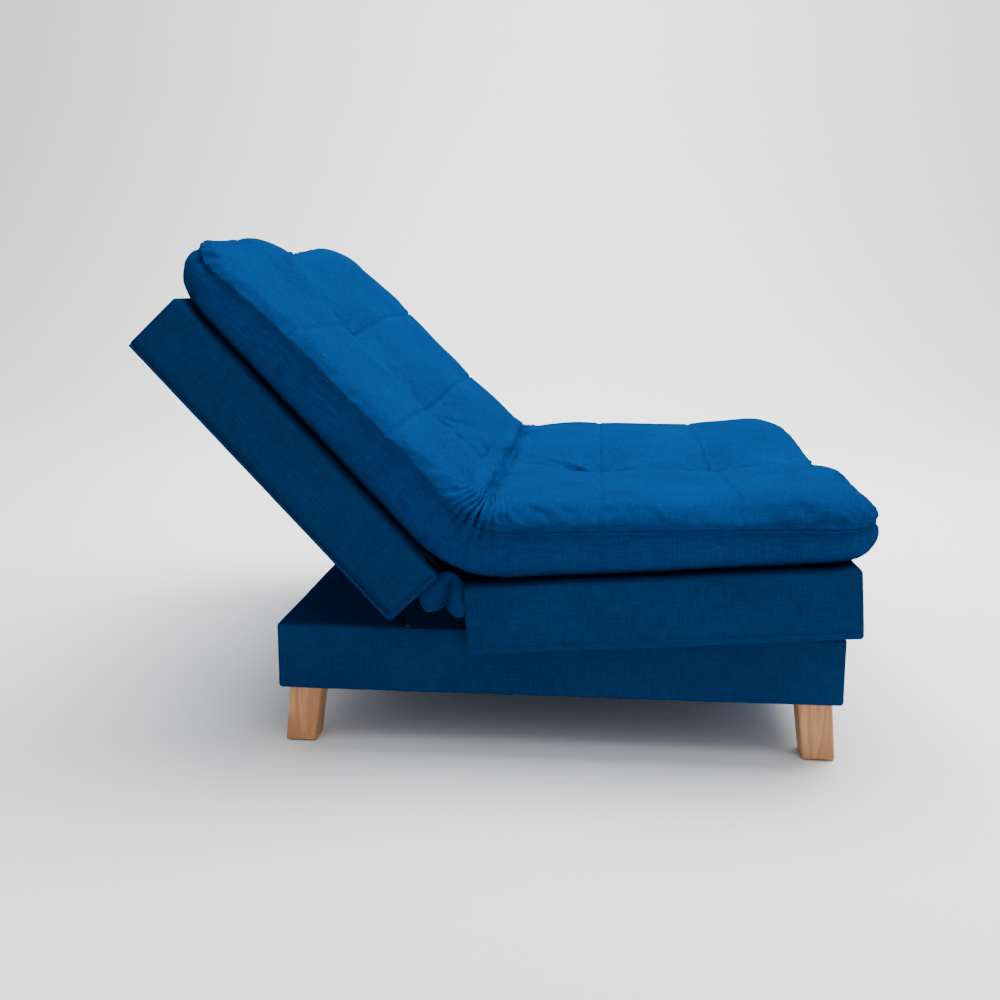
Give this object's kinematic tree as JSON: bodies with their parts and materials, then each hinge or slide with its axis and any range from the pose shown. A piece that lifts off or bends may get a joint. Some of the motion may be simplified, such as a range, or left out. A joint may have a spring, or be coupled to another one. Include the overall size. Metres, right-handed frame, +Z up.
{
  "type": "futon sofa bed",
  "caption": "Click-clack futon sofa bed: tufted topper on hinged seat and back boxes over a padded base on wooden legs.",
  "frame": {"origin": "on the floor, at the middle of the sofa's width and depth with the back at its lounge angle", "axes": "+X to the right for someone who looks at the sofa's front, -Y to the front of the seat, +Z up"},
  "size_m": [1.07, 1.1027, 0.7789],
  "materials": {
    "box_fabric": "woven linen-look upholstery cloth, royal blue, matt",
    "topper_fabric": "woven linen-look upholstery cloth, royal blue, matt",
    "dust_fabric": "black non-woven dust cloth",
    "foam": "open-cell upholstery foam",
    "rubber": "black moulded rubber",
    "bright_steel": "zinc plated",
    "hinge_steel": "black painted pressed steel, satin",
    "leg_wood": "natural brown hardwood, satin lacquer",
    "frame_wood": "sawn softwood, unfinished",
    "slat_wood": "sprung laminated birch slats",
    "board": "fibre board and plywood, unfinished"
  },
  "bodies": {
    "base": {"back_pivot_pins": "bright_steel", "base_corner_blocks": "frame_wood", "base_cover": "box_fabric", "base_cross_rails": "frame_wood", "base_deck": "board", "base_dust_cover": "dust_fabric", "base_front_rail": "frame_wood", "base_rear_rail": "frame_wood", "base_side_rail_left": "frame_wood", "base_side_rail_right": "frame_wood", "bracket_screws": "bright_steel", "gusset_left": "box_fabric", "gusset_right": "box_fabric", "hinge_bracket_left": "hinge_steel", "hinge_bracket_right": "hinge_steel", "leg_bolts": "bright_steel", "leg_front_left": "leg_wood", "leg_front_right": "leg_wood", "leg_glides": "rubber", "leg_plates": "bright_steel", "leg_rear_left": "leg_wood", "leg_rear_right": "leg_wood", "pawl_pins": "bright_steel", "pawl_springs": "bright_steel", "pivot_washers": "bright_steel", "seat_buffers": "rubber", "seat_pivot_pins": "bright_steel", "topper_fold": "topper_fabric"},
    "seat": {"seat_arm_screws": "bright_steel", "seat_cover": "box_fabric", "seat_foam": "foam", "seat_front_rail": "frame_wood", "seat_hinge_arm_left": "hinge_steel", "seat_hinge_arm_right": "hinge_steel", "seat_rear_rail": "frame_wood", "seat_side_rail_left": "frame_wood", "seat_side_rail_right": "frame_wood", "seat_slats": "slat_wood", "seat_topper": "topper_fabric"},
    "back": {"back_arm_screws": "bright_steel", "back_bottom_rail": "frame_wood", "back_cover": "box_fabric", "back_end_board": "board", "back_foam": "foam", "back_hinge_arm_left": "hinge_steel", "back_hinge_arm_right": "hinge_steel", "back_piping": "box_fabric", "back_rear_board": "board", "back_side_rail_left": "frame_wood", "back_side_rail_right": "frame_wood", "back_slats": "slat_wood", "back_top_rail": "frame_wood", "back_topper": "topper_fabric"},
    "pawl_left": {"pawl_left": "hinge_steel"},
    "pawl_right": {"pawl_right": "hinge_steel"}
  },
  "joints": [
    {"name": "back_recline", "type": "hinge", "parent": "base", "child": "back", "pos_m": [0, 0.1253, 0.264], "axis": [1, 0, 0], "range_deg": [-46.9, 18], "deforming": ["topper_fold", "gusset_left", "gusset_right"]},
    {"name": "seat_lift", "type": "hinge", "parent": "base", "child": "seat", "pos_m": [0, 0.0735, 0.235], "axis": [-1, 0, 0], "range_deg": [0, 11]},
    {"name": "pawl_left_drop", "type": "hinge", "parent": "base", "child": "pawl_left", "pos_m": [-0.504, 0.118, 0.212], "axis": [1, 0, 0], "range_deg": [0, 12], "stiffness_Nm_per_rad": 0.02, "springref_deg": -5.73},
    {"name": "pawl_right_drop", "type": "hinge", "parent": "base", "child": "pawl_right", "pos_m": [0.504, 0.118, 0.212], "axis": [1, 0, 0], "range_deg": [0, 12], "stiffness_Nm_per_rad": 0.02, "springref_deg": -5.73}
  ]
}
